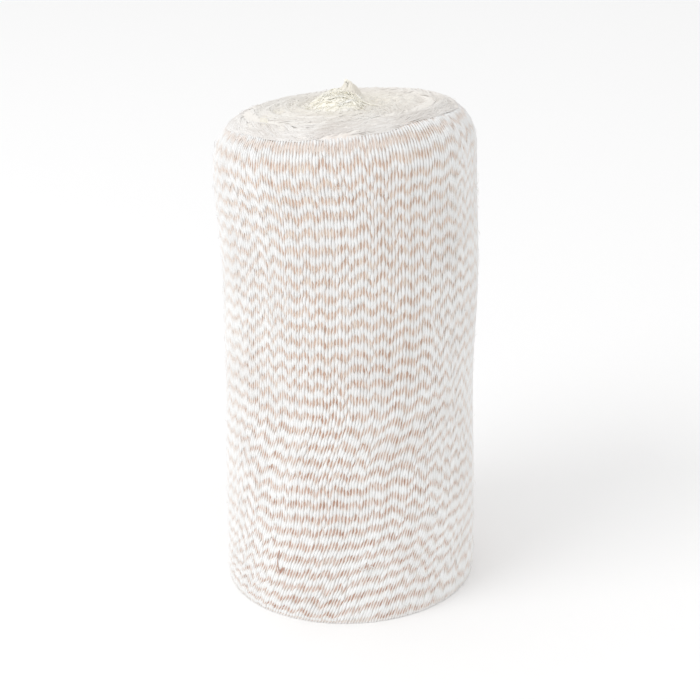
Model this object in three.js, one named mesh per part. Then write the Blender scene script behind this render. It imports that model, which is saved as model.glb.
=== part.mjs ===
// Elastic bandage roll: a 4 inch wide woven elastic cloth wound on itself, standing on one end.
// Millimetres, +Z up. The origin is the middle of the flat end it stands on. The front faces -Y.
// The whole roll is one wound cloth, so it is one closed solid: the flat foot, the side with its
// woven ribs, the soft shoulder, the spiral of turns on the upper end and the frayed core.
import * as THREE from "three";

// Cloth and roll
const CLOTH_WIDTH = 101.6;
const CLOTH_THICKNESS = 1.2;
const FOOT_RADIUS = 26.3;
const HEAD_RADIUS = 25.7;
const LEAN_X = 0.5;
const END_ANGLE = Math.PI / 2;
const END_TAPER = 0.06;

// Foot edge, drawn in a little where the cloth's selvage stands on the surface
const FOOT_INSET = 1.8;
const FOOT_EDGE = [
  { height: 0.0, inset: FOOT_INSET },
  { height: 0.6, inset: 0.6 },
  { height: 1.8, inset: 0.0 },
];

// Woven ribs: a drawn-in row of elastic threads at each pitch, cloth standing proud between
const ROW_COUNT = 31;
const FIRST_ROW = 3.1;
const ROW_PITCH = 3.145;
const ROW_DEPTH = 0.34;
const RIB_RINGS = [
  { along: 0.0, depth: ROW_DEPTH },
  { along: 0.3, depth: 0.0 },
  { along: 0.7, depth: 0.0 },
];

// The rows run askew: the cloth climbs to the right, more so low on the roll
const SKEW_LOW = 0.086;
const SKEW_HIGH = 0.06;
const SKEW_FADE = 9;

// Upper end: a soft shoulder, and a rim that stands higher at the front than at the back
const SHOULDER_IN = 8.4;
const SHOULDER_DOWN = 8.9;
const FRONT_RISE = 0.076;
const FRONT_RISE_FROM = 92;

// Uneven winding: shallow lobes that climb round the roll, and a few soft swells. A swell's
// even share goes all the way round, and the rest leans towards one side.
const LOBES = [
  { size: 0.2, count: 2, turn: 0.9, climb: 0.035 },
  { size: 0.12, count: 3, turn: 2.2, climb: -0.05 },
];
const LEFT = Math.PI;
const RIGHT = 0;
const SWELLS = [
  { size: 0.8, height: 90, reach: 11, towards: LEFT, even: 0.5 },
  { size: 0.65, height: 66, reach: 17, towards: RIGHT, even: 0.0 },
  { size: -0.5, height: 42, reach: 17, towards: RIGHT, even: 1.0 },
];

// Main turns of the wound cloth on the upper end
const TURN_PITCH = 2.5;
const TURN_RISE = 0.8;
const TURN_STEPS = 4;
const TURN_START = 22.0;
const TURN_FADE = 2.5;
const TURN_WANDER = 0.22;

// Frayed core, standing a little behind the middle
const CORE_X = 0.8;
const CORE_Y = 3.0;
const CORE_RADIUS = 5.2;
const CORE_HEIGHT = 4.7;
const CORE_FOLDS = 5;
const CORE_FOLD_SIZE = 0.22;

const SPOKES = 36;

const clamp01 = (value) => Math.min(1, Math.max(0, value));
const mix = (from, to, share) => from + (to - from) * share;

// A spoke is one direction round the roll. share says how far round the outer turn it lies,
// from the buried start of that turn to its free end at the back.
function makeSpokes() {
  const spokes = [];
  for (let i = 0; i <= SPOKES; i += 1) {
    const share = i / SPOKES;
    const angle = END_ANGLE + END_TAPER / 2 + (2 * Math.PI - END_TAPER) * share;
    spokes.push({ share, angle, cos: Math.cos(angle), sin: Math.sin(angle) });
  }
  return spokes;
}

// How far the shoulder has drawn in at a height
function shoulderInset(height) {
  const up = clamp01((height - (CLOTH_WIDTH - SHOULDER_DOWN)) / SHOULDER_DOWN);
  return SHOULDER_IN * (1 - Math.sqrt(1 - up * up));
}

// The shoulder's height where it has drawn in by inset
function shoulderHeight(inset) {
  const left = 1 - clamp01(inset / SHOULDER_IN);
  return CLOTH_WIDTH - SHOULDER_DOWN + SHOULDER_DOWN * Math.sqrt(1 - left * left);
}

function bodyRadius(height) {
  return mix(FOOT_RADIUS, HEAD_RADIUS, height / CLOTH_WIDTH);
}

function unevenness(height, spoke) {
  let sum = 0;
  for (const lobe of LOBES) {
    sum += lobe.size * Math.sin(lobe.count * spoke.angle + lobe.turn + lobe.climb * height);
  }
  for (const swell of SWELLS) {
    const near = Math.exp(-(((height - swell.height) / swell.reach) ** 2));
    const side = mix(Math.cos(spoke.angle - swell.towards), 1, swell.even);
    sum += swell.size * near * side;
  }
  return sum;
}

// Places a point of the plain upright roll in the leaning, askew one
function place(radius, height, spoke, shiftX = 0, shiftY = 0) {
  const x = radius * spoke.cos + shiftX;
  const y = radius * spoke.sin + shiftY;
  const skew = mix(SKEW_LOW, SKEW_HIGH, height / CLOTH_WIDTH) * clamp01(height / SKEW_FADE);
  const up = clamp01((height - FRONT_RISE_FROM) / (CLOTH_WIDTH - FRONT_RISE_FROM));
  const z = height + skew * x - FRONT_RISE * up * up * y;
  return [x + LEAN_X * (height / CLOTH_WIDTH - 0.5), y, z];
}

function sideRing(spokes, height, inset) {
  return spokes.map((spoke) => {
    const wound = CLOTH_THICKNESS * (spoke.share - 0.5);
    const radius = bodyRadius(height) - shoulderInset(height) - inset + wound;
    return place(radius + unevenness(height, spoke), height, spoke);
  });
}

function sideRings(spokes) {
  const rings = FOOT_EDGE.map((step) => sideRing(spokes, step.height, step.inset));
  for (let row = 0; row < ROW_COUNT; row += 1) {
    for (const ring of RIB_RINGS) {
      const height = FIRST_ROW + (row + ring.along) * ROW_PITCH;
      rings.push(sideRing(spokes, height, ring.depth));
    }
  }
  return rings;
}

// Height of the spiral of turns above the plain upper end
function turnHeight(radius, spoke) {
  const wander = TURN_WANDER * Math.sin(2 * spoke.angle + radius / TURN_PITCH);
  const phase = (TURN_START - radius) / TURN_PITCH - spoke.share + wander;
  const ridge = 0.5 - 0.5 * Math.cos(2 * Math.PI * phase);
  return TURN_RISE * (ridge - 0.5) * clamp01((TURN_START - radius) / TURN_FADE);
}

// Height of the frayed core, a folded peak
function coreHeight(radius, spoke) {
  const near = clamp01(1 - radius / CORE_RADIUS);
  const folds = 1 + CORE_FOLD_SIZE * Math.sin(CORE_FOLDS * spoke.angle) * (1 - near);
  return CORE_HEIGHT * near ** 1.4 * folds;
}

// The nearer the core, the more a ring moves over to stand round it
function headRings(spokes) {
  const rings = [];
  const step = TURN_PITCH / TURN_STEPS;
  for (let radius = TURN_START; radius > step; radius -= step) {
    const over = (1 - radius / TURN_START) ** 2;
    rings.push(spokes.map((spoke) => {
      const height = shoulderHeight(HEAD_RADIUS - radius);
      const rise = turnHeight(radius, spoke) + coreHeight(radius, spoke);
      const point = place(radius, height, spoke, CORE_X * over, CORE_Y * over);
      return [point[0], point[1], point[2] + rise];
    }));
  }
  return rings;
}

// Joins rings from the bottom up into one closed surface between two end points
function closedSurface(bottom, rings, top) {
  const points = [bottom, ...rings.flat(), top];
  const size = rings[0].length;
  const last = points.length - 1;
  const faces = [];
  const at = (ring, i) => 1 + ring * size + (i % size);
  for (let i = 0; i < size; i += 1) {
    faces.push(0, at(0, i + 1), at(0, i));
    faces.push(last, at(rings.length - 1, i), at(rings.length - 1, i + 1));
  }
  for (let ring = 0; ring < rings.length - 1; ring += 1) {
    for (let i = 0; i < size; i += 1) {
      const low = [at(ring, i), at(ring, i + 1)];
      const high = [at(ring + 1, i), at(ring + 1, i + 1)];
      faces.push(low[0], low[1], high[1], low[0], high[1], high[0]);
    }
  }
  const geometry = new THREE.BufferGeometry();
  geometry.setAttribute("position", new THREE.Float32BufferAttribute(points.flat(), 3));
  geometry.setIndex(faces);
  geometry.computeVertexNormals();
  return geometry;
}

function bandageRoll() {
  const spokes = makeSpokes();
  const rings = [...sideRings(spokes), ...headRings(spokes)];
  const foot = [0, 0, 0];
  const peak = place(0, CLOTH_WIDTH, spokes[0], CORE_X, CORE_Y);
  peak[2] += CORE_HEIGHT;
  const cloth = new THREE.MeshStandardMaterial({
    color: 0xf1ece5,
    roughness: 0.95,
    metalness: 0,
  });
  const mesh = new THREE.Mesh(closedSurface(foot, rings, peak), cloth);
  mesh.name = "bandage_roll";
  return mesh;
}

const group = new THREE.Group();
group.add(bandageRoll());

export default group;
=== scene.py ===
"""Looks of the elastic bandage roll: woven yarns, end strands, frayed core, floor, light, camera.

Sizes are in millimetres, as in the roll's own drawing, and are scaled to metres as a mesh is made.
The roll stands on the origin with +Z up, and its front faces -Y.
"""
import math

import bpy
import numpy as np
from mathutils import Matrix


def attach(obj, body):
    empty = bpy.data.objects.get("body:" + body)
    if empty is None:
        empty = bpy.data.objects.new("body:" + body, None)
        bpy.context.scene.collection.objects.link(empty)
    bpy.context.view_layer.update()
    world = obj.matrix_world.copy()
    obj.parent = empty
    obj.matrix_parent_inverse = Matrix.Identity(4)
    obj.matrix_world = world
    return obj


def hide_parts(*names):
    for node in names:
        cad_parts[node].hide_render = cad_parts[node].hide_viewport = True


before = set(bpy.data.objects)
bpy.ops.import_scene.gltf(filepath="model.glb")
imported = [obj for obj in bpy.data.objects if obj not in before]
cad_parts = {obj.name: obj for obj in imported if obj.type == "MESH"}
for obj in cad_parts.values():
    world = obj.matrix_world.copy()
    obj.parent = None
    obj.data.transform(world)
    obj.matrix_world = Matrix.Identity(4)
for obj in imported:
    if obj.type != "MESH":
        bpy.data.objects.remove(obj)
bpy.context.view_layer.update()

MM = 0.001
TURN = 2 * math.pi
SEED = 31

# The roll's form, as in the solid, but with a sharper foot edge and lower turns on top
CLOTH_WIDTH = 101.6
CLOTH_THICKNESS = 1.2
FOOT_RADIUS = 26.3
HEAD_RADIUS = 25.7
LEAN_X = 0.5
END_ANGLE = math.pi / 2
END_TAPER = 0.06
FOOT_INSET = 0.12
FOOT_EDGE = 0.9
ROW_COUNT = 31
FIRST_ROW = 3.1
ROW_PITCH = 3.145
SKEW_LOW = 0.086
SKEW_HIGH = 0.06
SKEW_FADE = 9
SHOULDER_IN = 8.4
SHOULDER_DOWN = 8.9
FRONT_RISE = 0.076
FRONT_RISE_FROM = 92
UNEVEN_FADE = 0.35
LOBES = (
    {"size": 0.2, "count": 2, "turn": 0.9, "climb": 0.035},
    {"size": 0.12, "count": 3, "turn": 2.2, "climb": -0.05},
)
SWELLS = (
    {"size": 0.8, "height": 90, "reach": 11, "towards": math.pi, "even": 0.5},
    {"size": 0.65, "height": 66, "reach": 17, "towards": 0.0, "even": 0.0},
    {"size": -0.5, "height": 42, "reach": 17, "towards": 0.0, "even": 1.0},
)
TURN_PITCH = 2.5
TURN_RISE = 0.5
TURN_START = 22.0
TURN_FADE = 2.5
TURN_WANDER = 0.22
CORE_X = 0.8
CORE_Y = 3.0
CORE_RADIUS = 5.2
CORE_HEIGHT = 4.7
CORE_FOLDS = 5
CORE_FOLD_SIZE = 0.22
CORE_SHARPNESS = 1.4

# The whole way round, where the outer turn itself is 1 and the rest is the slope of its free end
ROUND_SHARE = TURN / (TURN - END_TAPER)

# Arc length up the outline: the side, the bend of the shoulder, then in over the upper end
SHOULDER_FROM = CLOTH_WIDTH - SHOULDER_DOWN
SHOULDER_BEND = (SHOULDER_IN + SHOULDER_DOWN) / 2
BEND_END = SHOULDER_FROM + SHOULDER_BEND * math.pi / 2
CORE_AT = BEND_END + HEAD_RADIUS - SHOULDER_IN

# Weave: columns of white weft yarn, narrow where a row of tan warp threads draws them in
COLUMNS = 260
YARN_HALF_BAND = 0.305
YARN_HALF_ROW = 0.165
YARN_RISE_BAND = 0.23
YARN_RISE_ROW = 0.2
YARN_BASE_BAND = -0.14
YARN_BASE_ROW = -0.24
YARN_STEPS = (0.0, 0.17, 0.38, 0.62, 0.83)
YARN_BENDS = (-90, -45, 0, 45, 90)
# Across a yarn near a row, the share of tan tint and painted shade at each corner: most on the
# flanks
YARN_FLANK_TINT_SHADE = (1.0, 0.8, 0.36, 0.8, 1.0)
NARROW_WITHIN = 0.06
FULL_BEYOND = 0.42
SIDE_AZIMUTHS = (18, 55)
SIDE_FULLNESS = 0.58
FLOAT_LEAN = 0.06
FLOAT_SWING = 0.33
COLUMN_LEAN = 1.1
LEAN_ABOUT = 45
LEAN_SAMPLES = 203
END_UPRIGHT = 0.26
TOP_SPREAD = 0.12
TOP_SPREAD_OVER = (86, 103)
COLUMN_END = 105.0
COLUMN_SINK = 0.45
# At the foot the yarns keep some of the same tint for the cream selvage, with painted shade on the
# flanks
SELVAGE = {"flank_tint_and_shade": 0.25, "over": (0.2, 0.6)}

# Tan stitches: the places along one, in halves of its length, and how full it is there
STITCH_PLACES = (-1.0, -0.36, 0.36, 1.0)
STITCH_SHAPE = (0.1, 1.0, 1.0, 0.1)
STITCH_BENDS = (-90, 0, 90)
STITCH_LENGTH = 1.9
SIDE_SHORTER = 0.3
STITCH_HALF = 0.22
STITCH_RISE = 0.16
STITCH_BASE = -0.28
STITCH_LOWEST = 0.2

# Where the stitches are paler: under the crease, at the foot and high on the side
PALE_TOP = {"share": 0.85, "over": (-4.5, -1.5)}
PALE_FOOT_OVER = (0.3, 0.9)
PALE_HIGH = {"share": 0.18, "over": (50, 75)}

# Smooth waves round the roll: how many are summed, their size together, and their most crests
COLUMN_WAVES = {"count": 7, "size": 0.26}
ROW_WAVES = {"count": 5, "size": 0.12}
TOOTH_WAVES = {"count": 6, "size": 0.3}
LIE_WAVES = {"count": 6, "size": 1.0}
MOST_CRESTS = 13
WAVE_CLIMB = 0.16

# The rows' uneven saw-tooth, its trembling, and where it is taller or calmer
ZIGZAG = {
    "teeth": 46,
    "widths": (0.65, 1.4),
    "tops_at": (0.4, 0.7),
    "dips": (0.0, 0.3),
    "tops": (0.7, 1.1),
    "round": 0.55,
    "middle": 0.75,
    "fall": 2.9,
}
TREMBLE = {"size": 0.3, "turns": 5, "climb": 0.07, "spread": 0.05}
ROW_JITTER = 0.25
FRONT = {"azimuth": 5, "reach": 34, "taller": 0.1, "low": (18, 42), "low_shorter": 0.6}
CALM_FOOT = {"size": 0.45, "over": (0, 6)}
CALM_TOP = {"size": 0.5, "over": (95, 101)}

# Rows by number: one below the first rib of the solid, and two over its last one
ROW_NUMBERS = np.arange(-1, ROW_COUNT + 2)
LOWEST_ROW = 0.3
CLOSEST_ROWS = 1.1

# How far the rows have drifted up from the ribs at each azimuth, as a share of the row pitch.
# Azimuth is in degrees from the front to the right.
DRIFT_ROWS = (0, 4, 8, 12, 16, 20, 24, 27, 30)
ROW_DRIFT = {
    -90: (-0.1, -0.2, -0.2, 0.0, 0.1, 0.1, 0.0, -0.1, -0.3),
    -60: (0.05, -0.23, -0.15, 0.11, 0.32, 0.28, 0.23, -0.02, -0.31),
    -41: (-0.31, -0.27, -0.35, -0.14, 0.07, -0.02, -0.1, -0.1, -0.39),
    -24: (-0.43, -0.23, -0.27, -0.27, -0.14, -0.23, -0.39, -0.27, -0.35),
    -7: (-0.39, -0.31, -0.39, -0.35, -0.27, -0.35, -0.43, -0.14, -0.39),
    9: (0.3, -0.14, -0.31, -0.35, -0.18, -0.23, -0.27, -0.06, -0.39),
    25: (0.44, -0.06, -0.35, -0.31, -0.06, -0.14, -0.06, 0.02, -0.27),
    42: (0.2, -0.25, -0.39, -0.35, -0.18, 0.02, 0.15, -0.06, -0.27),
    60: (-0.1, -0.31, -0.31, -0.31, -0.02, 0.19, 0.32, 0.23, -0.23),
    90: (-0.2, -0.3, -0.3, -0.2, -0.1, 0.0, 0.1, 0.0, -0.3),
}

# The crease, where the columns stop and the strands of the upper end start
CREASE_AZIMUTHS = (-90, -60, -20, 5, 25, 42, 60, 85, 180)
CREASE_ALONGS = (99.8, 101.0, 100.7, 101.0, 101.6, 102.6, 102.1, 100.6, 101.0)

# Millimetres past the crease over which the columns sink, the tan and painted shade end, and the
# yarns narrow
CREASE_OVER = (-0.2, 1.0)
STITCH_SINK_OVER = (-0.2, 0.6)
TINT_SHADE_END_OVER = (0.0, 0.8)
OPEN_TOP = {"share": 0.16, "over": (-6, -1)}

# How far the columns lean to the right as they climb, at heights
LEAN_HEIGHTS = (0, 17, 24, 30, 33, 38, 43, 48, 60, 75, 80, 88, 101)
LEAN_SLOPES = (0.34, 0.34, 0.12, 0.05, 0.22, 0.28, 0.22, 0.04, 0.03, 0.01, -0.02, -0.05, -0.05)

# Ground cloth under the yarns: stations within a row pitch and below the first row, with their
# depth and share of tan
GROUND = (
    {"step": 0.0, "out": -0.3, "tan": 1.0},
    {"step": 0.25, "out": -0.23, "tan": 0.5},
    {"step": 0.5, "out": -0.17, "tan": 0.06},
    {"step": 0.75, "out": -0.23, "tan": 0.5},
)
GROUND_FOOT = (
    {"share": 0.0, "out": -0.2, "tan": 0.3},
    {"share": 0.5, "out": -0.2, "tan": 0.6},
)
GROUND_GAP = 0.2
GROUND_HEAD = -0.03
GROUND_UP_OVER = (-0.1, 0.8)
CREAM_OVER = (0.0, 1.2)

# The ground's rings on the upper end, and on the foot with its grooves between the laps
HEAD_FROM = 104.6
HEAD_STEP = 0.6
HEAD_SHORT = 0.4
FOOT_RINGS = 24
FOOT_INNERMOST = 0.02
FOOT_TAN = 0.3
FOOT_TAN_OVER = (0.5, 1.5)
GROOVE_LAPS = 1.5
GROOVE_RISE = 0.4
GROOVE_EDGE = 0.1

# Upper end: strands combed over the turns, by lap of the spiral counted from outside
STRAND_COUNT = 7000
STRAND_HALF = 0.125
STRAND_RISE = 0.15
STRAND_BENDS = (-90, -38, 38, 90)
STRAND_STEPS = 8
STRAND_LENGTHS = (3.6, 8.0)
STRAND_SHORT = {"share": 0.45, "over": (3, 12)}
STRAND_INNER = 2.2
STRAND_CLOSEST = 0.6
STRAND_TIGHTEST = 2.0
STRAND_RIM = (-0.25, 0.2)
STRAND_SINK = (-0.2, -0.08)
STRAND_LIFT = (-0.05, 0.12)
STRAND_TIP = 0.35
OUTER_LAPS = 2

# The paler corner at the back left of the upper end
BACK_LEFT = {"angle": 140, "near": (0.3, 0.8), "radius": (11, 17), "paler": 0.85}

# Stray fibres
FUZZ_COUNT = 900
FUZZ_RADIUS = 0.032

# Frayed core: a heap of crumpled elastic threads, and a folded tab that stands at the peak
HEAP_X = -1.0
HEAP_Y = 1.3
HEAP_WIDE = 5.6
HEAP_DEEP = 9.6
HEAP_HEIGHT = 2.2
HEAP_BASE = 0.3
HEAP_PAST = 3
HEAP_SUNK = 0.1
HEAP_WHOLE = 0.6
CORE_SLACK = 0.85
CORE_THREADS = 330
CORE_FLAKES = 40
LONG_THREADS = 6
BAND_CORNERS = (0, 25, 90, 155, 180, 205, 270, 335)
PEAK_TAB = (
    {"x": 1.1, "y": 2.4, "z": 103.0, "half": 1.5, "thick": 0.3},
    {"x": 1.1, "y": 2.6, "z": 103.9, "half": 1.4, "thick": 0.24},
    {"x": 1.05, "y": 2.9, "z": 104.6, "half": 1.2, "thick": 0.16},
    {"x": 0.9, "y": 3.1, "z": 105.2, "half": 0.85, "thick": 0.14},
    {"x": 0.6, "y": 3.2, "z": 105.7, "half": 0.45, "thick": 0.12},
    {"x": 0.45, "y": 3.3, "z": 105.95, "half": 0.2, "thick": 0.08},
    {"x": 0.4, "y": 3.3, "z": 106.05, "half": 0.01, "thick": 0.01},
)

# The pale lap's middle line, with the angle in degrees
PALE_LAP = (
    {"share": 0.0, "radius": 20.0, "angle": -138},
    {"share": 0.25, "radius": 16.5, "angle": -154},
    {"share": 0.5, "radius": 13.0, "angle": -172},
    {"share": 0.75, "radius": 10.8, "angle": -205},
    {"share": 1.0, "radius": 9.6, "angle": -240},
)
PALE_LAP_HALF = 1.7
PALE_LAP_THREADS = 260

# Tan thread ends along the cut end at the back
ENDS_A_ROW = 4

# Loose bits on the side
LOOSE_THREAD = (
    {"azimuth": -33.0, "along": 16.4, "out": -0.1},
    {"azimuth": -33.1, "along": 15.6, "out": 0.12},
    {"azimuth": -33.8, "along": 13.6, "out": 0.16},
    {"azimuth": -33.5, "along": 12.4, "out": 0.16},
    {"azimuth": -32.3, "along": 11.1, "out": 0.16},
    {"azimuth": -31.2, "along": 12.0, "out": 0.1},
    {"azimuth": -31.0, "along": 12.5, "out": -0.1},
)
FIBRE_LOOPS = (
    {"azimuth": 6.0, "along": 13.0, "wide": 0.9, "tall": 0.6, "turn": 0.4},
    {"azimuth": 9.5, "along": 12.0, "wide": 0.7, "tall": 0.9, "turn": 2.6},
    {"azimuth": 42.0, "along": 20.0, "wide": 0.8, "tall": 0.8, "turn": 1.2},
)

# Fibres in a yarn's bump: how the noise runs across, along and from yarn to yarn
FIBRES = {"cross": 2.6, "length": 4.2, "change": 0.7, "apart": 300.0}

# Floor and light, in metres
FLOOR_HALF = 3.0
KEY_LIGHT = {"place": (-0.7, -0.45, 0.8), "target": (0, 0, 0.05), "size": 0.7, "power": 3.7}
WORLD_STRENGTH = 0.9

# Camera, in millimetres and radians, and picture, in pixels
PICTURE = 700
CAMERA_AWAY = 318.6
CAMERA_HEIGHT = 181.8
CAMERA_X = 0.6
CAMERA_DOWN = 0.3927
CAMERA_ROLL = -0.0149
FOCAL_PIXELS = 1664.0
SENSOR = 36.0


def smooth(low, high, value):
    t = np.clip((value - low) / (high - low), 0, 1)
    return t * t * (3 - 2 * t)


def mix(low, high, share):
    return low + (high - low) * share


def values_of(table, key):
    """One named column of a table."""
    return np.array([entry[key] for entry in table])


def angle_of(share):
    return END_ANGLE + END_TAPER / 2 + (TURN - END_TAPER) * share


def share_of(angle):
    """How far round the outer turn an angle lies. Past 1 it is on the slope of the free end."""
    return ((angle - END_ANGLE - END_TAPER / 2) / (TURN - END_TAPER)) % ROUND_SHARE


def azimuth_of(angle):
    """Degrees from the front to the right, between -180 and 180."""
    return (np.degrees(angle) + 270) % 360 - 180


def outline(along):
    """Height, inset and bend (0 upright, a quarter turn flat) of the outline at an arc length."""
    bend = np.clip((along - SHOULDER_FROM) / SHOULDER_BEND, 0, math.pi / 2)
    over = np.maximum(along - BEND_END, 0)
    height = np.minimum(along, SHOULDER_FROM) + SHOULDER_DOWN * np.sin(bend)
    foot = FOOT_INSET * np.clip(1 - along / FOOT_EDGE, 0, 1) ** 2
    inset = SHOULDER_IN * (1 - np.cos(bend)) + over + foot
    return height, inset, bend


def unevenness(height, angle):
    total = 0
    for lobe in LOBES:
        total = total + lobe["size"] * np.sin(
            lobe["count"] * angle + lobe["turn"] + lobe["climb"] * height
        )
    for swell in SWELLS:
        near = np.exp(-(((height - swell["height"]) / swell["reach"]) ** 2))
        total = total + swell["size"] * near * mix(
            np.cos(angle - swell["towards"]), 1, swell["even"]
        )
    return total


def turn_height(radius, angle):
    """Height of the spiral of turns above the plain upper end."""
    wander = TURN_WANDER * np.sin(2 * angle + radius / TURN_PITCH)
    phase = (TURN_START - radius) / TURN_PITCH - share_of(angle) + wander
    ridge = 0.5 - 0.5 * np.cos(TURN * phase)
    return TURN_RISE * (ridge - 0.5) * np.clip((TURN_START - radius) / TURN_FADE, 0, 1)


def core_height(radius, angle):
    near = np.clip(1 - radius / CORE_RADIUS, 0, 1)
    folds = 1 + CORE_FOLD_SIZE * np.sin(CORE_FOLDS * angle) * (1 - near)
    return CORE_HEIGHT * near**CORE_SHARPNESS * folds


def point(angle, along, out=0.0):
    """A point of the roll's surface, out millimetres off it, and the outward normal there."""
    height, inset, bend = outline(along)
    near_side = 1 - smooth(SHOULDER_IN * UNEVEN_FADE, SHOULDER_IN, inset)
    wound = CLOTH_THICKNESS * np.interp(share_of(angle), [0, 1, ROUND_SHARE], [-0.5, 0.5, -0.5])
    body = mix(FOOT_RADIUS, HEAD_RADIUS, height / CLOTH_WIDTH)
    radius = body - inset + (wound + unevenness(height, angle)) * near_side
    on_head = radius < TURN_START
    rise = np.where(on_head, turn_height(radius, angle) + core_height(radius, angle), 0)
    over = np.clip(1 - radius / TURN_START, 0, 1) ** 2
    off_side = out * np.cos(bend)
    x = (radius + off_side) * np.cos(angle) + CORE_X * over
    y = (radius + off_side) * np.sin(angle) + CORE_Y * over
    skew = mix(SKEW_LOW, SKEW_HIGH, height / CLOTH_WIDTH) * np.clip(height / SKEW_FADE, 0, 1)
    up = np.clip((height - FRONT_RISE_FROM) / (CLOTH_WIDTH - FRONT_RISE_FROM), 0, 1)
    z = height + skew * x - FRONT_RISE * up * up * y + rise + out * np.sin(bend)
    x = x + LEAN_X * (height / CLOTH_WIDTH - 0.5)
    normal = np.stack(
        [np.cos(angle) * np.cos(bend), np.sin(angle) * np.cos(bend), np.sin(bend) + 0 * angle], -1
    )
    return np.stack([x, y, z + 0 * x], -1), normal


def crease_along(angle):
    """Arc length of the outline at the crease."""
    return np.interp(azimuth_of(angle), CREASE_AZIMUTHS, CREASE_ALONGS, period=360)


def radius_at(along):
    return HEAD_RADIUS - outline(along)[1]


def unit(vectors):
    return vectors / np.maximum(np.linalg.norm(vectors, axis=-1, keepdims=True), 1e-9)


def add_object(name, data):
    thing = bpy.data.objects.new(name, data)
    bpy.context.scene.collection.objects.link(thing)
    return thing


def set_axes(thing, x, y, z, place):
    """Places an object, with its own axes along x, y and z."""
    rows = [[x[i], y[i], z[i], place[i]] for i in range(3)]
    thing.matrix_world = Matrix(rows + [[0, 0, 0, 1]])


def grid_mesh(name, corners, material, values=None, closed_across=False):
    """One object from strands: corners is (strands, steps, across, 3) in millimetres. Nothing
    reaches below the surface that the roll stands on."""
    strands, steps, across, _ = corners.shape
    corners = np.maximum(corners, (-np.inf, -np.inf, 0))
    index = np.arange(strands * steps * across).reshape(strands, steps, across)
    if closed_across:
        index = np.concatenate([index, index[:, :, :1]], axis=2)
    quads = np.stack(
        [index[:, :-1, :-1], index[:, :-1, 1:], index[:, 1:, 1:], index[:, 1:, :-1]], -1
    ).reshape(-1, 4)
    mesh = bpy.data.meshes.new(name)
    mesh.vertices.add(corners.size // 3)
    mesh.vertices.foreach_set("co", (corners * MM).astype(np.float32).ravel())
    mesh.loops.add(quads.size)
    mesh.loops.foreach_set("vertex_index", quads.astype(np.int32).ravel())
    mesh.polygons.add(len(quads))
    mesh.polygons.foreach_set("loop_start", np.arange(0, quads.size, 4, dtype=np.int32))
    mesh.polygons.foreach_set("use_smooth", np.ones(len(quads), dtype=bool))
    mesh.update(calc_edges=True)
    for key, value in (values or {}).items():
        attribute = mesh.attributes.new(key, "FLOAT", "POINT")
        full = np.broadcast_to(value, (strands, steps, across)).astype(np.float32)
        attribute.data.foreach_set("value", full.ravel())
    mesh.validate()
    mesh.materials.append(material)
    return add_object(name, mesh)


def thread_piece(random, name, corners, material, values=None):
    """Closed threads as one object, each with a random number of its own."""
    number = random.uniform(0, 1, (len(corners), 1, 1))
    values = {"number": number, **(values or {})}
    return grid_mesh(name, corners, material, values, closed_across=True)


def in_pieces(name, corners, material, values, pieces):
    """Strands as several objects, so that none of them is very large."""
    values = {key: np.broadcast_to(value, corners.shape[:3]) for key, value in values.items()}
    made = []
    for part, chosen in enumerate(np.array_split(np.arange(len(corners)), pieces)):
        own = {key: value[chosen] for key, value in values.items()}
        made.append(grid_mesh(f"{name}_{part + 1}", corners[chosen], material, own))
    return made


def half_tubes(centre, normal, half, rise, bends):
    """Half-round strands lying on the surface: (strands, steps, across, 3). Their corners are
    bends degrees from the top."""
    ahead = unit(np.gradient(centre, axis=1))
    side = unit(np.cross(ahead, normal))
    bends = np.radians(bends)
    off = side[:, :, None] * (half[..., None] * np.sin(bends))[..., None]
    up = normal[:, :, None] * (rise[..., None] * np.cos(bends))[..., None]
    return centre[:, :, None] + off + up


def taper(t, end, power=1.0):
    """Fullness along a strand: 1 in its middle, and least within a share end of either end."""
    return np.sin(math.pi * np.clip(t, end, 1 - end)) ** power


def round_tubes(centre, radius, sides):
    """Round strands: (strands, steps, sides, 3)."""
    ahead = unit(np.gradient(centre, axis=1))
    askew = np.array([0.31, 0.23, 0.92])
    side = unit(np.cross(ahead, askew))
    up = np.cross(ahead, side)
    around = np.arange(sides) * TURN / sides
    ring = side[:, :, None] * np.cos(around)[:, None] + up[:, :, None] * np.sin(around)[:, None]
    return centre[:, :, None] + ring * radius[:, :, None, None]


# Weave functions

def wave_noise(random, count, size):
    """A smooth sum of waves round the roll, as a function of angle and height."""
    turns = random.integers(1, MOST_CRESTS + 1, count)
    starts = random.uniform(0, TURN, count)
    climbs = random.uniform(-WAVE_CLIMB, WAVE_CLIMB, count)

    def value(angle, height):
        total = 0
        for turn, start, climb in zip(turns, starts, climbs):
            total = total + np.sin(turn * angle + start + climb * height)
        return size * total / math.sqrt(count)

    return value


def lean_drift(along):
    """How far a column has wandered to the right at a height, in millimetres."""
    fine = np.linspace(0, LEAN_HEIGHTS[-1], LEAN_SAMPLES)
    slope = COLUMN_LEAN * np.interp(fine, LEAN_HEIGHTS, LEAN_SLOPES)
    drift = np.cumsum(slope) * (fine[1] - fine[0])
    return np.interp(along, fine, drift - np.interp(LEAN_ABOUT, fine, drift))


def column_angle(share, along, waver):
    """Angle of a column of weft yarn at a height. The cut end stays upright."""
    angle = angle_of(share)
    free = smooth(0, END_UPRIGHT, share) * smooth(0, END_UPRIGHT, 1 - share)
    drift = lean_drift(along) + waver(angle, along)
    spread = TOP_SPREAD * np.cos(angle) * smooth(*TOP_SPREAD_OVER, along)
    return angle + free * (drift / FOOT_RADIUS + spread)


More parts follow.
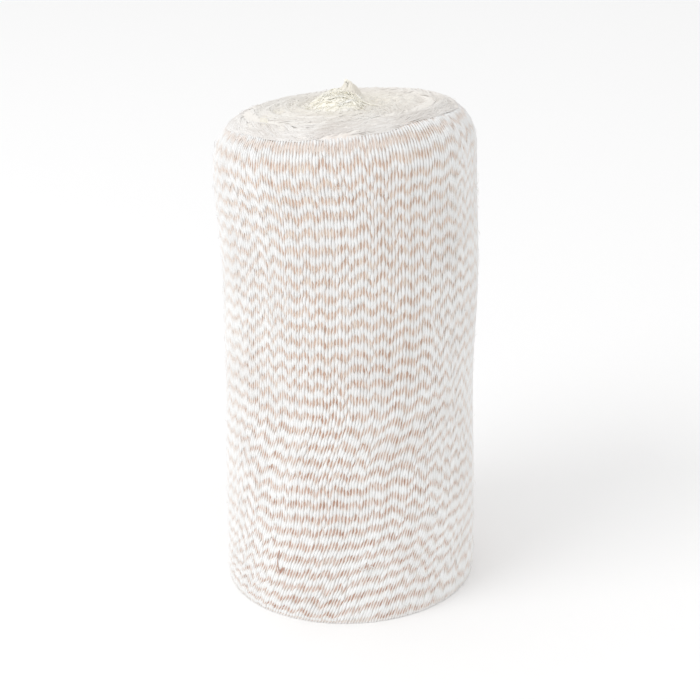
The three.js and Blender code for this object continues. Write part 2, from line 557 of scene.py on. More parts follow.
def zigzag(random, share, tremble):
    """Height of a row's uneven saw-tooth: sharp dips with round tops between them."""
    teeth = ZIGZAG["teeth"]
    wide = random.uniform(*ZIGZAG["widths"], teeth)
    dips = ROUND_SHARE * np.concatenate([[0], np.cumsum(wide)]) / wide.sum()
    tops = mix(dips[:-1], dips[1:], random.uniform(*ZIGZAG["tops_at"], teeth))
    places = np.concatenate([dips, tops])
    low = random.uniform(*ZIGZAG["dips"], len(dips))
    high = random.uniform(*ZIGZAG["tops"], len(tops))
    order = np.argsort(places)
    level = np.concatenate([low, high])[order]
    height = np.interp(share + tremble / teeth, places[order], level)
    return ZIGZAG["fall"] * (height ** ZIGZAG["round"] - ZIGZAG["middle"])


def at_side(angle):
    """0 at the front, 1 at the sides and the back, where the rows are finer."""
    return smooth(*SIDE_AZIMUTHS, np.abs(azimuth_of(angle)))


def row_drift(angle):
    """(columns, rows) drift of each row, in millimetres."""
    places = list(ROW_DRIFT)
    levels = [np.interp(ROW_NUMBERS, DRIFT_ROWS, level) for level in ROW_DRIFT.values()]
    drift = [
        np.interp(where, places, level, period=360)
        for where, level in zip(azimuth_of(angle).T, np.transpose(levels))
    ]
    return ROW_PITCH * np.stack(drift, 1)


def row_heights(random, shares, waver):
    """(columns, rows) arc length of each row on each column."""
    base = FIRST_ROW + ROW_PITCH * ROW_NUMBERS[None]
    angle = column_angle(shares[:, None], base, waver)
    slow = wave_noise(random, **ROW_WAVES)(angle, base)
    tremble = TREMBLE["size"] * np.sin(TREMBLE["turns"] * angle + TREMBLE["climb"] * base)
    tremble = tremble + random.normal(0, TREMBLE["spread"], (len(shares), 1))
    size = 1 + wave_noise(random, **TOOTH_WAVES)(angle, base)
    teeth = zigzag(random, shares[:, None], tremble) * size
    jitter = random.normal(0, ROW_JITTER, (len(shares), len(ROW_NUMBERS)))
    front = np.exp(-(((azimuth_of(angle) - FRONT["azimuth"]) / FRONT["reach"]) ** 2))
    low_front = (1 - smooth(*FRONT["low"], base)) * front
    teeth = teeth * (1 + FRONT["taller"] * front) * (1 - FRONT["low_shorter"] * low_front)
    calm = mix(CALM_FOOT["size"], 1, smooth(*CALM_FOOT["over"], base))
    calm = calm * mix(1, CALM_TOP["size"], smooth(*CALM_TOP["over"], base))
    rows = base + row_drift(angle) + (teeth + slow) * calm + jitter
    rows[:, 0] = np.maximum(rows[:, 0], LOWEST_ROW)
    for row in (1, 2):
        rows[:, row] = np.maximum(rows[:, row], rows[:, row - 1] + CLOSEST_ROWS)
    return rows


def weft_stations(rows):
    """Stations along each column: their arc lengths, how full the yarn is there (0 at a row,
    1 between rows), and how far it swings aside there, as a share of its lean over a row pitch."""
    steps = np.array(YARN_STEPS)
    gaps = np.diff(np.concatenate([rows, rows[:, -1:] + ROW_PITCH], 1), axis=1)
    along = (rows[:, :, None] + gaps[:, :, None] * steps).reshape(len(rows), -1)
    near = np.minimum(steps, 1 - steps)
    full = np.tile(smooth(NARROW_WITHIN, FULL_BEYOND, near), rows.shape[1])
    aside = np.tile(-FLOAT_SWING * np.sin(TURN * steps), rows.shape[1])
    last = len(full) - len(steps) + 2
    along, full, aside = along[:, :last], full[:last], aside[:last]
    below = rows[:, :1] * np.array([0.02, 0.5])
    above = mix(along[:, -1:], COLUMN_END, np.array([0.5, 1.0]))
    full = np.concatenate([[0.6, 0.6], full, [0.6, 0.4]])
    aside = np.concatenate([[0.2, 0.2], aside, [0.0, 0.0]])
    return np.concatenate([below, along, above], 1), full, aside


def make_weft(random, material):
    """The columns of white weft yarn, with their shares, rows and wavering for other makers."""
    shares = ROUND_SHARE * (np.arange(COLUMNS) + 0.5) / COLUMNS
    shares = shares + random.normal(0, 0.05 / COLUMNS, COLUMNS)
    waver = wave_noise(random, **COLUMN_WAVES)
    rows = row_heights(random, shares, waver)
    along, full, aside = weft_stations(rows)
    angle = column_angle(shares[:, None], along, waver)
    full = full ** mix(1, SIDE_FULLNESS, at_side(angle))
    slope = FLOAT_LEAN * np.interp(along, LEAN_HEIGHTS, LEAN_SLOPES)
    slope = slope + random.normal(0, 0.05, along.shape)
    angle = angle + aside * slope * ROW_PITCH / FOOT_RADIUS
    at_rows = random.normal(0, 0.24, along.shape) * (1 - full)
    plump = 1 + random.normal(0, 0.08, along.shape) + at_rows
    thick = 1 + random.normal(0, 0.03, (COLUMNS, 1))
    thick = thick * radius_at(along) / HEAD_RADIUS
    past = along - crease_along(angle)
    open_top = 1 - OPEN_TOP["share"] * smooth(*OPEN_TOP["over"], past)
    half = mix(YARN_HALF_ROW, YARN_HALF_BAND, full) * plump * thick * open_top
    rise = mix(YARN_RISE_ROW, YARN_RISE_BAND, full)
    rise = rise * (1 + random.normal(0, 0.1, along.shape))
    sink = COLUMN_SINK * smooth(*CREASE_OVER, past)
    sway = random.normal(0, 0.03, along.shape)
    base = mix(YARN_BASE_ROW, YARN_BASE_BAND, full) - sink
    centre, normal = point(angle + sway / FOOT_RADIUS, along, base)
    corners = half_tubes(centre, normal, half, rise, YARN_BENDS)
    # Near each row the yarn flanks get tan tint and painted shade, where the yarns narrow and part
    flank_tint_shade = (1 - full) * (1 - smooth(*TINT_SHADE_END_OVER, past))
    flank_tint_shade = mix(flank_tint_shade, SELVAGE["flank_tint_and_shade"], 1 - smooth(*SELVAGE["over"], along))
    values = {
        "flank_tint_and_shade": flank_tint_shade[:, :, None] * YARN_FLANK_TINT_SHADE,
        "length": along[:, :, None],
        "cross": np.array(YARN_BENDS) / 90,
        "number": random.uniform(0, 1, (COLUMNS, 1, 1)),
    }
    return in_pieces("weft_yarns", corners, material, values, 3), shares, rows, waver


def make_stitches(random, material, shares, rows, waver):
    """The tan warp loops that show between the weft yarns at each row."""
    middle = (shares[1:] + shares[:-1]) / 2
    level = (rows[1:] + rows[:-1]) / 2
    level = level + random.normal(0, 0.15, level.shape)
    middle = np.broadcast_to(middle[:, None], level.shape).reshape(-1, 1)
    level = level.reshape(-1, 1)
    count = len(level)
    long = STITCH_LENGTH / 2 * (1 + random.normal(0, 0.22, (count, 1)))
    along = np.maximum(level + np.array(STITCH_PLACES) * long, STITCH_LOWEST)
    along = mix(along, level, SIDE_SHORTER * at_side(angle_of(middle)))
    along = np.maximum(along, STITCH_LOWEST)
    angle = column_angle(middle, along, waver)
    shape = np.array(STITCH_SHAPE)
    wide = 1 + random.normal(0, 0.1, (count, 1))
    wide = wide * radius_at(along) / HEAD_RADIUS
    past = level - crease_along(angle)
    sink = COLUMN_SINK * smooth(*STITCH_SINK_OVER, past)
    centre, normal = point(angle, along, STITCH_BASE - sink)
    half = STITCH_HALF * shape * wide
    rise = STITCH_RISE * shape * (1 + random.normal(0, 0.12, (count, 1)))
    corners = half_tubes(centre, normal, half, rise, STITCH_BENDS)
    pale = PALE_TOP["share"] * smooth(*PALE_TOP["over"], past)
    pale = np.maximum(pale, 1 - smooth(*PALE_FOOT_OVER, level))
    pale = np.maximum(pale, PALE_HIGH["share"] * smooth(*PALE_HIGH["over"], level))
    values = {
        "number": random.uniform(0, 1, (count, 1, 1)),
        "length": along[:, :, None],
        "pale": pale[:, :, None],
    }
    return grid_mesh("warp_stitches", corners, material, values)


def between(values, wrap):
    """The middle of each value and the next. The last one is joined to the first."""
    following = np.concatenate([values[1:], values[:1] + wrap])
    return (values + following) / 2


def heap_height(x, y):
    """Height of the heap of crumpled threads."""
    off = np.hypot((x - HEAP_X) / HEAP_WIDE, (y - HEAP_Y) / HEAP_DEEP)
    return HEAP_HEIGHT * np.clip(1 - off**2, 0, 1)


def core_ground(x, y):
    """Height of the ground of the frayed core, and how much of it is heap and peak."""
    spread = np.hypot(x - CORE_X, y - CORE_Y)
    peak = (1 - CORE_SLACK) * core_height(spread, np.arctan2(y - CORE_Y, x - CORE_X))
    raised = heap_height(x, y) + peak
    return CLOTH_WIDTH + HEAP_BASE + SKEW_HIGH * x - FRONT_RISE * y + raised, raised


def ground_column(key, count, head):
    """A value of the ground at each station: below the rows, over count rows, on the head."""
    within = np.tile(values_of(GROUND, key), count)[:-2]
    return np.concatenate([values_of(GROUND_FOOT, key), within, head])[:, None]


def make_body(material, shares, rows, waver):
    """The ground of the wound cloth, from the flat foot over the side and the upper end."""
    shares = between(shares, ROUND_SHARE)
    rows = between(rows, 0)
    steps = ROW_PITCH * values_of(GROUND, "step")
    side = (rows[:, :, None] + steps).reshape(len(rows), -1)[:, :-2]
    upper = rows[:, 1]
    for station in (3, 2, 1):
        side[:, station] = np.minimum(side[:, station], upper - GROUND_GAP)
        upper = side[:, station]
    low = rows[:, :1] * values_of(GROUND_FOOT, "share")
    head = np.arange(HEAD_FROM, CORE_AT - HEAD_SHORT, HEAD_STEP) + 0 * rows[:, :1]
    along = np.concatenate([low, side, head], 1).T
    out = ground_column("out", rows.shape[1], np.full(head.shape[1], GROUND_HEAD))
    tan = ground_column("tan", rows.shape[1], np.zeros(head.shape[1]))
    angle = column_angle(shares[None], along, waver)
    past = along - crease_along(angle)
    corners, _ = point(angle, along, mix(out, GROUND_HEAD, smooth(*GROUND_UP_OVER, past)))
    x, y, z = np.moveaxis(corners, -1, 0)
    spread = np.hypot(x - CORE_X, y - CORE_Y)
    heap, raised = core_ground(x, y)
    lowered = z - CORE_SLACK * core_height(spread, angle)
    inner = (past > HEAP_PAST) & (raised > 0)
    corners[..., 2] = np.where(inner, np.maximum(lowered, heap - HEAP_SUNK), z)
    inward = np.linspace(1, FOOT_INNERMOST, FOOT_RINGS)[:, None]
    foot = corners[0][None] * inward[..., None]
    radius = np.linalg.norm(foot[..., :2], axis=-1)
    groove = 0.5 + 0.5 * np.cos(TURN * (radius / CLOTH_THICKNESS / GROOVE_LAPS + shares[None]))
    foot[..., 2] = GROOVE_RISE * groove * smooth(0, GROOVE_EDGE, 1 - inward)
    corners = np.concatenate([foot[::-1], corners[1:]], 0)
    tan = tan * (1 - smooth(*CREASE_OVER, past)) * smooth(*FOOT_TAN_OVER, along)
    cream = smooth(*CREAM_OVER, past)
    core = np.where(inner, smooth(0, HEAP_WHOLE, raised), 0)
    values = {
        key: np.concatenate([np.full(foot.shape[:2], low), upper[1:]])[None]
        for key, low, upper in (("tan", FOOT_TAN, tan), ("cream", 0, cream), ("core", 0, core))
    }
    return grid_mesh("wound_cloth", corners[None], material, values, closed_across=True)


def strand_lie(radius, angle, lap):
    """Angle between a strand and its lap: 0 runs along the lap, a quarter turn runs inward."""
    outer = np.radians(-5 + 20 * np.cos(angle + math.radians(70)) - 10 * lap)
    to_right = smooth(0.35, 0.9, np.cos(angle + math.radians(25)))
    inner = np.radians(12 + 58 * to_right + 14 * np.cos(math.pi * lap))
    lie = np.where(lap < OUTER_LAPS, outer, inner)
    return mix(lie, math.radians(76), smooth(10, 6, radius))


def head_along(radius):
    """Arc length of the outline where it has come in to a radius on the upper end."""
    inset = HEAD_RADIUS - radius
    bend = np.arccos(np.clip(1 - inset / SHOULDER_IN, -1, 1))
    over = BEND_END + inset - SHOULDER_IN
    return np.where(inset < SHOULDER_IN, SHOULDER_FROM + SHOULDER_BEND * bend, over)


def make_head_strands(random, material):
    """Loops and ends of weft yarn, combed flat over the turns of the upper end."""
    steps = np.linspace(0, 1, STRAND_STEPS)[None]
    angle = random.uniform(0, TURN, STRAND_COUNT)[:, None]
    rim = radius_at(crease_along(angle))
    start = np.sqrt(mix(STRAND_INNER**2, rim**2, random.uniform(0, 1, angle.shape)))
    share = share_of(angle)
    lap = np.maximum(np.floor((TURN_START - start) / TURN_PITCH + 1 - share), 0)
    lie = strand_lie(start, angle, lap) + random.normal(0, 0.1, start.shape)
    lie = lie + 0.2 * wave_noise(random, **LIE_WAVES)(angle, start * 2)
    shorter = mix(STRAND_SHORT["share"], 1, smooth(*STRAND_SHORT["over"], start))
    long = random.uniform(*STRAND_LENGTHS, start.shape) * shorter
    curl = random.normal(0, 0.25, start.shape)
    way = lie + curl * (steps - 0.5)
    step = long / (steps.shape[1] - 1)
    radius = start - np.cumsum(np.sin(way), axis=1) * step
    radius = np.maximum(radius, STRAND_CLOSEST)
    around = np.maximum(radius, STRAND_TIGHTEST)
    angle = angle + np.cumsum(np.cos(way), axis=1) * step / around
    rim = radius_at(crease_along(angle)) + random.uniform(*STRAND_RIM, start.shape)
    radius = np.minimum(radius, rim)
    arch = np.sin(math.pi * steps) ** 0.6
    lift = mix(*STRAND_SINK, arch) + random.uniform(*STRAND_LIFT, start.shape)
    centre, normal = point(angle, head_along(radius), lift)
    shape = mix(STRAND_TIP, 1, taper(steps, 0.03, 0.5))
    half = STRAND_HALF * shape * (1 + random.normal(0, 0.25, start.shape))
    rise = STRAND_RISE * shape * (1 + random.normal(0, 0.2, start.shape))
    corners = half_tubes(centre, normal, half, rise, STRAND_BENDS)
    number = random.uniform(0, 1, start.shape)
    behind = np.cos(angle[:, :1] - math.radians(BACK_LEFT["angle"]))
    behind = smooth(*BACK_LEFT["near"], behind) * smooth(*BACK_LEFT["radius"], start)
    number = mix(number, 1, BACK_LEFT["paler"] * behind)
    # Toward both ends, where a strand tucks under its neighbours, it gets painted pinkish shade
    values = {
        "number": number[..., None],
        "length": (steps * long)[..., None],
        "cross": np.sin(np.radians(STRAND_BENDS)),
        "painted_end_shade": (1 - arch)[..., None],
        "inward": (1 - radius / TURN_START)[..., None],
    }
    return in_pieces("end_strands", corners, material, values, 2)


def make_pale_lap(random, material):
    """The smooth pale lap of elastic threads that shows from the front left to behind the core."""
    one = (PALE_LAP_THREADS, 1)
    way = np.linspace(0, 1, 12)[None]
    where, level, turn = (values_of(PALE_LAP, key) for key in ("share", "radius", "angle"))
    begin = random.uniform(-0.1, 0.8, one)
    t = begin + way * random.uniform(0.15, 0.3, one)
    sway = 0.35 * np.sin(TURN * (t * 2.5 + random.uniform(0, 1, one)))
    off = random.uniform(-1, 1, one) * PALE_LAP_HALF * taper(t, 0.08)
    radius = np.interp(t, where, level) + off + sway
    angle = np.radians(np.interp(t, where, turn))
    end = np.sin(math.pi * way) ** 0.5
    lift = mix(-0.3, -0.06, end) + random.uniform(-0.03, 0.05, one)
    centre, normal = point(angle, head_along(radius), lift)
    half = STRAND_HALF * mix(0.3, 1.1, end) * random.uniform(0.8, 1.3, one)
    corners = half_tubes(centre, normal, half, 0.8 * half, STRAND_BENDS)
    # The thread ends get a little painted shade where they tuck under
    values = {
        "number": random.uniform(0, 1, (PALE_LAP_THREADS, 1, 1)),
        "length": 30 * t[..., None],
        "cross": np.sin(np.radians(STRAND_BENDS)),
        "painted_end_shade": 0.2 * (1 - end)[..., None],
        "inward": 1.0,
    }
    return grid_mesh("pale_lap", corners, material, values)


def make_core_threads(random, material):
    """Crumpled elastic threads heaped over the core."""
    one = (CORE_THREADS, 1)
    t = np.linspace(0, 1, 12)[None]
    place = random.uniform(0, TURN, one)
    away = 0.95 * np.sqrt(random.uniform(0, 1, one))
    x = HEAP_X + HEAP_WIDE * away * np.cos(place)
    y = HEAP_Y + HEAP_DEEP * away * np.sin(place)
    heading = random.uniform(0, TURN, one)
    long = random.uniform(1.6, 4.2, one)
    beat = random.uniform(0.8, 2.4, one)
    turn = heading + random.uniform(0.3, 1.4, one) * np.sin(TURN * beat * t + place)
    x = x + np.cumsum(np.cos(turn), 1) * long / t.shape[1]
    y = y + np.cumsum(np.sin(turn), 1) * long / t.shape[1]
    level = random.uniform(-0.08, -0.01, one)
    hop = 0.3 * random.uniform(0, 1, one) ** 4 * np.sin(math.pi * t)
    z = core_ground(x, y)[0] + level + hop
    centre = np.stack([x, y, z], -1)
    thin = random.uniform(0.05, 0.09, one) * taper(t, 0.01, 0.25)
    return thread_piece(random, "core_threads", round_tubes(centre, thin, 5), material)


def flat_band(centre, across, half, thick):
    """A flat closed band: its cross direction is given at each step."""
    ahead = unit(np.gradient(centre, axis=1))
    side = unit(across - ahead * np.sum(across * ahead, -1, keepdims=True))
    up = np.cross(ahead, side)
    around = np.radians(BAND_CORNERS)
    wide = half[..., None, None] * np.cos(around)[:, None] * side[:, :, None]
    high = thick[..., None, None] * np.sin(around)[:, None] * up[:, :, None]
    return centre[:, :, None] + wide + high


def make_core_flakes(random, material):
    """Folded flat ends of the elastic threads among the crumpled ones."""
    one = (CORE_FLAKES, 1)
    t = np.linspace(0, 1, 8)[None]
    place = random.uniform(0, TURN, one)
    away = 0.8 * np.sqrt(random.uniform(0, 1, one))
    heading = random.uniform(0, TURN, one)
    long = random.uniform(1.2, 2.8, one)
    x = HEAP_X + HEAP_WIDE * away * np.cos(place) + np.cos(heading) * long * (t - 0.5)
    y = HEAP_Y + HEAP_DEEP * away * np.sin(place) + np.sin(heading) * long * (t - 0.5)
    fold = np.abs((t * random.uniform(1.5, 3.0, one) + place) % 1 - 0.5)
    z = core_ground(x, y)[0] + random.uniform(-0.05, 0.05, one) + fold * 0.3 - 0.06
    centre = np.stack([x, y, z], -1)
    roll = random.uniform(-0.8, 0.8, one) + random.uniform(-1.2, 1.2, one) * t
    level = np.cos(roll)
    across = np.stack([-np.sin(heading) * level, np.cos(heading) * level, np.sin(roll)], -1)
    half = random.uniform(0.2, 0.45, one) * taper(t, 0.06, 0.35)
    corners = flat_band(centre, across, half, np.full(half.shape, 0.06))
    return thread_piece(random, "core_flakes", corners, material)


def make_peak_tab(material):
    """A flat folded end that stands up at the peak."""
    centre = np.stack([values_of(PEAK_TAB, key) for key in ("x", "y", "z")], -1)[None]
    across = np.zeros_like(centre)
    across[..., 0] = 1.0
    across[..., 1] = 0.25 * np.sin(np.arange(len(PEAK_TAB)) * 1.3)
    half, thick = (values_of(PEAK_TAB, key)[None] for key in ("half", "thick"))
    corners = flat_band(centre, across, half, thick)
    return grid_mesh("peak_tab", corners, material, {"number": 0.35}, closed_across=True)


def make_long_threads(random, material):
    """Elastic threads that run from the peak down to the right."""
    one = (LONG_THREADS, 1)
    t = np.linspace(0, 1, 18)[None]
    start_x = 1.5 + random.normal(0, 0.3, one)
    start_y = 2.6 + random.normal(0, 0.3, one)
    end_x = 5.0 + random.normal(0, 1.2, one)
    end_y = -6.8 + random.normal(0, 1.6, one)
    x = mix(start_x, end_x, t) + random.uniform(-0.5, 0.5, one) * np.sin(math.pi * t)
    y = mix(start_y, end_y, t)
    z = np.maximum(core_ground(x, y)[0] + 0.1, mix(104.4, 102.6, smooth(0, 0.35, t)))
    centre = np.stack([x, y, z], -1)
    thin = random.uniform(0.06, 0.1, one) * taper(t, 0.03, 0.2)
    return thread_piece(random, "long_threads", round_tubes(centre, thin, 6), material)


def make_cut_end(random, material, rows):
    """Short ends of the tan warp threads that stick out of the cut end, a few at each row."""
    level = np.repeat(rows[-1, 1:-2], ENDS_A_ROW)[:, None]
    level = level + random.normal(0, 0.28, level.shape)
    t = np.linspace(0, 1, 6)[None]
    long = random.uniform(0.7, 2.3, level.shape)
    rise = random.normal(0, 0.35, level.shape) * t**2
    angle = angle_of(1.0) - 0.02 + (0.02 + long / FOOT_RADIUS) * t
    off = mix(-0.3, 0.12, np.sin(math.pi * np.clip(t * 1.4, 0, 1))) + 0.25 * (1 - t)
    centre, _ = point(angle, level + rise, off + 0 * angle)
    thin = random.uniform(0.05, 0.085, level.shape) * mix(1.0, 0.7, t)
    values = {"length": level[..., None], "pale": 0.25}
    return thread_piece(random, "cut_thread_ends", round_tubes(centre, thin, 5), material, values)


def make_loose_thread(material):
    """A tan thread pulled out in a narrow loop, low on the left."""
    line = np.array([[step[key] for key in ("azimuth", "along", "out")] for step in LOOSE_THREAD])
    t = np.linspace(0, len(line) - 1, 19)
    azimuth, along, out = (np.interp(t, np.arange(len(line)), column)[None] for column in line.T)
    centre, _ = point(np.radians(azimuth - 90), along, out)
    corners = round_tubes(centre, np.full(azimuth.shape, 0.09), 6)
    values = {"number": 0.0, "length": along[..., None], "pale": 0.0}
    return grid_mesh("loose_tan_thread", corners, material, values, closed_across=True)


def make_fibre_loops(material):
    """Small loops of loose white fibre."""
    t = np.linspace(0, 1, 17)[None]
    corners = []
    for loop in FIBRE_LOOPS:
        around = TURN * (0.05 + 0.85 * t) + loop["turn"]
        angle = math.radians(loop["azimuth"] - 90) + loop["wide"] * np.cos(around) / FOOT_RADIUS
        along = loop["along"] + loop["tall"] * np.sin(around)
        centre, _ = point(angle, along, 0.16 + 0.1 * np.sin(math.pi * t))
        corners.append(round_tubes(centre, np.full(t.shape, 0.07), 5))
    values = {"number": 1.0, "painted_end_shade": 0.0, "inward": 0.0, "cross": 0.0, "length": 0.0}
    corners = np.concatenate(corners)
    return grid_mesh("loose_fibre_loops", corners, material, values, closed_across=True)


def make_fuzz(random, material):
    """Fine stray fibres that stand off the yarns."""
    one = (FUZZ_COUNT, 1)
    t = np.linspace(0, 1, 7)[None]
    share = random.uniform(0.01, 0.99, one)
    along = random.uniform(1.0, CORE_AT - 4, one)
    heading = random.uniform(0, TURN, one) + random.normal(0, 1.1, one) * t
    long = random.uniform(0.7, 2.6, one)
    step = long / t.shape[1]
    climb = along + np.cumsum(np.sin(heading), 1) * step
    aside = np.cumsum(np.cos(heading), 1) * step
    around = np.maximum(CORE_AT - np.maximum(along, BEND_END), 6)
    angle = angle_of(share) + aside / np.minimum(around, FOOT_RADIUS)
    lift = 0.02 + random.uniform(0.08, 0.5, one) * np.sin(math.pi * 0.8 * t)
    centre, _ = point(angle, np.clip(climb, 0.5, CORE_AT - 2), lift)
    thin = FUZZ_RADIUS * mix(1.0, 0.5, t) * random.uniform(0.7, 1.3, one)
    values = {"painted_end_shade": 0.0, "inward": 0.1}
    return thread_piece(random, "stray_fibres", round_tubes(centre, thin, 3), material, values)


# Materials

def new_material(name):
    material = bpy.data.materials.new(name)
    material.use_nodes = True
    tree = material.node_tree
    tree.nodes.clear()
    output = tree.nodes.new("ShaderNodeOutputMaterial")
    shader = tree.nodes.new("ShaderNodeBsdfPrincipled")
    tree.links.new(shader.outputs["BSDF"], output.inputs["Surface"])
    return material, tree, shader


def set_surface(tree, shader, colour, settings):
    """Links the colour, and sets what is the same all over the surface on the shader."""
    tree.links.new(colour, shader.inputs["Base Color"])
    for socket, value in settings.items():
        shader.inputs[socket].default_value = value


def attribute(tree, name):
    node = tree.nodes.new("ShaderNodeAttribute")
    node.attribute_name = name
    return node.outputs["Fac"]


def ramp(tree, fac, stops):
    node = tree.nodes.new("ShaderNodeValToRGB")
    elements = node.color_ramp.elements
    while len(elements) < len(stops):
        elements.new(0.5)
    for element, (place, colour) in zip(elements, stops):
        element.position = place
        element.color = (*colour, 1)
    tree.links.new(fac, node.inputs["Fac"])
    return node.outputs["Color"]


def feed(tree, socket, value):
    """Gives a socket another socket's value, a colour or a number."""
    if isinstance(value, bpy.types.NodeSocket):
        tree.links.new(value, socket)
    elif isinstance(value, tuple):
        socket.default_value = (*value, 1)
    else:
        socket.default_value = value


def mixed(tree, fac, low, high, how="MIX"):
    node = tree.nodes.new("ShaderNodeMix")
    node.data_type = "RGBA"
    node.blend_type = how
    for socket, value in ((0, fac), (6, low), (7, high)):
        feed(tree, node.inputs[socket], value)
    return node.outputs[2]


def multiplied(tree, one, other):
    return mixed(tree, 1.0, one, other, "MULTIPLY")


def noise(tree, scale, detail=2.0, vector=None):
    node = tree.nodes.new("ShaderNodeTexNoise")
    node.inputs["Scale"].default_value = scale
    node.inputs["Detail"].default_value = detail
    if vector is None:
        place = tree.nodes.new("ShaderNodeTexCoord")
        vector = place.outputs["Object"]
    tree.links.new(vector, node.inputs["Vector"])
    return node.outputs["Fac"]


def bump(tree, shader, height, strength, distance):
    node = tree.nodes.new("ShaderNodeBump")
    node.inputs["Strength"].default_value = strength
    node.inputs["Distance"].default_value = distance
    tree.links.new(height, node.inputs["Height"])
    tree.links.new(node.outputs["Normal"], shader.inputs["Normal"])


def combined(tree, x, y, z):
    node = tree.nodes.new("ShaderNodeCombineXYZ")
    for socket, value in zip(node.inputs, (x, y, z)):
        feed(tree, socket, value)
    return node.outputs[0]


def maths(tree, how, one, other):
    node = tree.nodes.new("ShaderNodeMath")
    node.operation = how
    feed(tree, node.inputs[0], one)
    feed(tree, node.inputs[1], other)
    return node.outputs[0]


def scaled(tree, value, factor):
    return maths(tree, "MULTIPLY", value, factor)


def up_the_roll(tree, stops):
    """A ramp over the arc length of the outline, where 1 is 100 mm."""
    return ramp(tree, scaled(tree, attribute(tree, "length"), 0.01), stops)


def fibre_bump(tree, shader, strength, distance):
    """Fine fibres laid slantwise along a yarn, as its twist lays them."""
    cross = scaled(tree, attribute(tree, "cross"), FIBRES["cross"])
    length = attribute(tree, "length")
    slant = maths(tree, "ADD", cross, scaled(tree, length, FIBRES["length"]))
    apart = scaled(tree, attribute(tree, "number"), FIBRES["apart"])
    place = combined(tree, slant, scaled(tree, length, FIBRES["change"]), apart)
    bump(tree, shader, noise(tree, 1.0, 4.0, place), strength, distance)


def weft_material():
    material, tree, shader = new_material("white_weft_yarn")
    patches = noise(tree, 90, 3)
    white = ramp(tree, patches, ((0.3, (0.89, 0.885, 0.88)), (0.62, (0.95, 0.955, 0.955))))
    high = up_the_roll(tree, ((0.15, (1.0, 1.0, 1.0)), (0.75, (0.95, 0.95, 0.95))))
    one_yarn = ramp(tree, attribute(tree, "number"), ((0, (0.95, 0.95, 0.945)), (1, (1, 1, 1))))
    colour = multiplied(tree, multiplied(tree, white, high), one_yarn)
    # Mix toward tan-pink: tan of the warp, and painted shade on the flanks between the yarns
    tinted_and_shaded = mixed(tree, scaled(tree, attribute(tree, "flank_tint_and_shade"), 0.75), colour, (0.75, 0.62, 0.53))
    settings = {"Roughness": 0.9, "Sheen Weight": 0.15, "Sheen Roughness": 0.5}
    set_surface(tree, shader, tinted_and_shaded, settings)
    fibre_bump(tree, shader, 0.8, 0.14 * MM)
    return material


def stitch_material():
    material, tree, shader = new_material("tan_warp_thread")
    tan = ramp(
        tree,
        attribute(tree, "number"),
        (
            (0.0, (0.54, 0.345, 0.26)),
            (0.35, (0.64, 0.45, 0.355)),
            (0.7, (0.72, 0.56, 0.47)),
            (1.0, (0.81, 0.71, 0.63)),
        ),
    )
    low = up_the_roll(tree, ((0.1, (0.94, 0.89, 0.915)), (0.75, (1.0, 1.0, 0.96))))
    colour = multiplied(tree, tan, low)
    paler = mixed(tree, attribute(tree, "pale"), colour, (0.84, 0.76, 0.70))
    set_surface(tree, shader, paler, {"Roughness": 0.8})
    bump(tree, shader, noise(tree, 5200, 2), 0.35, 0.05 * MM)
    return material


def body_material():
    material, tree, shader = new_material("cloth_under_yarns")
    patches = noise(tree, 400, 3)
    pale = ramp(tree, patches, ((0.3, (0.85, 0.81, 0.775)), (0.7, (0.89, 0.86, 0.83))))
    tan = ramp(tree, patches, ((0.3, (0.60, 0.43, 0.335)), (0.7, (0.69, 0.53, 0.44))))
    cream = mixed(tree, attribute(tree, "cream"), pale, (0.86, 0.83, 0.785))
    elastic = mixed(tree, attribute(tree, "core"), cream, (0.94, 0.915, 0.83))
    colour = mixed(tree, attribute(tree, "tan"), elastic, tan)
    set_surface(tree, shader, colour, {"Roughness": 0.95})
    bump(tree, shader, noise(tree, 2600, 3), 0.6, 0.15 * MM)
    return material


def strand_material():
    material, tree, shader = new_material("end_strand_yarn")
    patches = noise(tree, 130, 3)
    white = ramp(tree, patches, ((0.32, (0.79, 0.76, 0.73)), (0.62, (0.89, 0.875, 0.855))))
    inner = mixed(tree, attribute(tree, "inward"), white, (0.895, 0.865, 0.78))
    # Painted pinkish shade toward the strand ends, where they tuck under
    painted_end_shade = mixed(tree, scaled(tree, attribute(tree, "painted_end_shade"), 0.2), inner, (0.82, 0.74, 0.69))
    one = ramp(tree, attribute(tree, "number"), ((0, (0.87, 0.85, 0.835)), (1, (1, 1, 1))))
    settings = {"Roughness": 0.8, "Sheen Weight": 0.15}
    set_surface(tree, shader, multiplied(tree, painted_end_shade, one), settings)
    fibre_bump(tree, shader, 0.7, 0.08 * MM)
    return material


def core_material():
    material, tree, shader = new_material("elastic_core_thread")
    tone = ramp(
        tree,
        attribute(tree, "number"),
        ((0.0, (0.935, 0.90, 0.79)), (0.5, (0.945, 0.92, 0.83)), (1.0, (0.955, 0.945, 0.90))),
    )
    settings = {"Roughness": 0.25, "Coat Weight": 0.5, "Coat Roughness": 0.12}
    set_surface(tree, shader, tone, settings)
    return material


def floor_material():
    material, _, shader = new_material("pale_floor")
    shader.inputs["Base Color"].default_value = (0.96, 0.96, 0.96, 1)
    shader.inputs["Roughness"].default_value = 0.9
    return material


def add_floor():
    mesh = bpy.data.meshes.new("floor")
    signs = ((-1, -1), (1, -1), (1, 1), (-1, 1))
    corners = [(x * FLOOR_HALF, y * FLOOR_HALF, 0) for x, y in signs]
    mesh.from_pydata(corners, [], [(0, 1, 2, 3)])
    mesh.materials.append(floor_material())
    floor = add_object("floor", mesh)


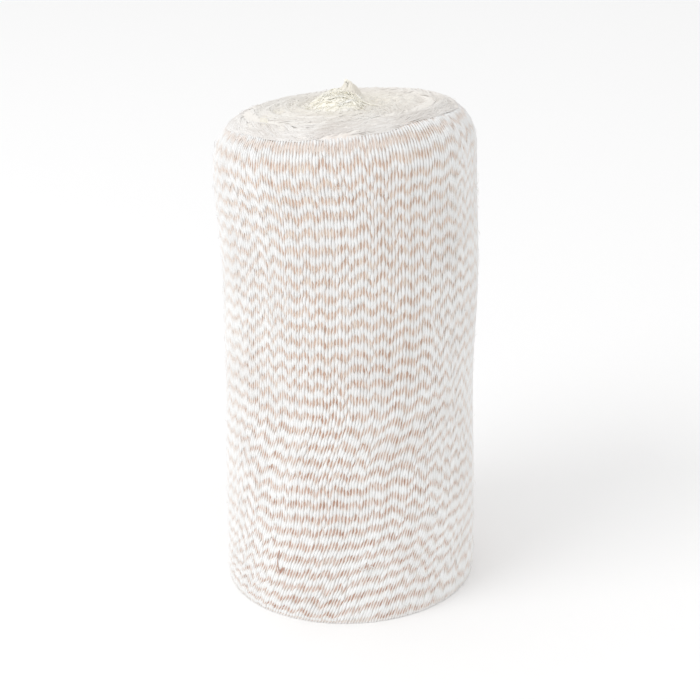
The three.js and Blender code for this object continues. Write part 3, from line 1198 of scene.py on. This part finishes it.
def add_key_light():
    lamp = bpy.data.lights.new("key_left", "AREA")
    lamp.shape = "DISK"
    lamp.size = KEY_LIGHT["size"]
    lamp.energy = KEY_LIGHT["power"]
    place = KEY_LIGHT["place"]
    away = unit(np.array(place) - np.array(KEY_LIGHT["target"]))
    side = unit(np.cross((0, 0, 1), away))
    set_axes(add_object("key_left", lamp), side, np.cross(away, side), away, place)


def add_light():
    world = bpy.data.worlds.new("soft_studio")
    world.use_nodes = True
    background = world.node_tree.nodes["Background"]
    background.inputs["Color"].default_value = (1.0, 1.0, 1.0, 1)
    background.inputs["Strength"].default_value = WORLD_STRENGTH
    bpy.context.scene.world = world
    add_key_light()
    bpy.context.scene.view_settings.view_transform = "Standard"


def add_camera():
    camera = bpy.data.cameras.new("camera")
    camera.sensor_width = SENSOR
    camera.lens = FOCAL_PIXELS * SENSOR / PICTURE
    camera.clip_start = 0.01
    camera.clip_end = 10
    thing = add_object("camera", camera)
    ahead = np.array([0, math.cos(CAMERA_DOWN), -math.sin(CAMERA_DOWN)])
    right = np.array([1.0, 0, 0])
    up = np.cross(right, ahead)
    cosine, sine = math.cos(CAMERA_ROLL), math.sin(CAMERA_ROLL)
    rolled = cosine * right + sine * up
    rolled_up = -sine * right + cosine * up
    place = np.array([CAMERA_X, -CAMERA_AWAY, CAMERA_HEIGHT]) * MM
    set_axes(thing, rolled, rolled_up, -ahead, place)
    bpy.context.scene.camera = thing


def build():
    random = np.random.default_rng(SEED)
    add_camera()
    add_light()
    add_floor()
    weft, shares, rows, waver = make_weft(random, weft_material())
    body = make_body(body_material(), shares, rows, waver)
    tan_thread = stitch_material()
    stitches = make_stitches(random, tan_thread, shares, rows, waver)
    cut_ends = make_cut_end(random, tan_thread, rows)
    end_yarn = strand_material()
    strands = make_head_strands(random, end_yarn)
    lap = make_pale_lap(random, end_yarn)
    fuzz = make_fuzz(random, end_yarn)
    loose = (make_loose_thread(tan_thread), make_fibre_loops(end_yarn))
    elastic = core_material()
    core = (
        make_core_threads(random, elastic),
        make_core_flakes(random, elastic),
        make_peak_tab(elastic),
        make_long_threads(random, elastic),
    )
    for piece in (body, *weft, stitches, cut_ends, *strands, lap, fuzz, *loose, *core):
        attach(piece, "root")
        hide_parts("bandage_roll")


build()
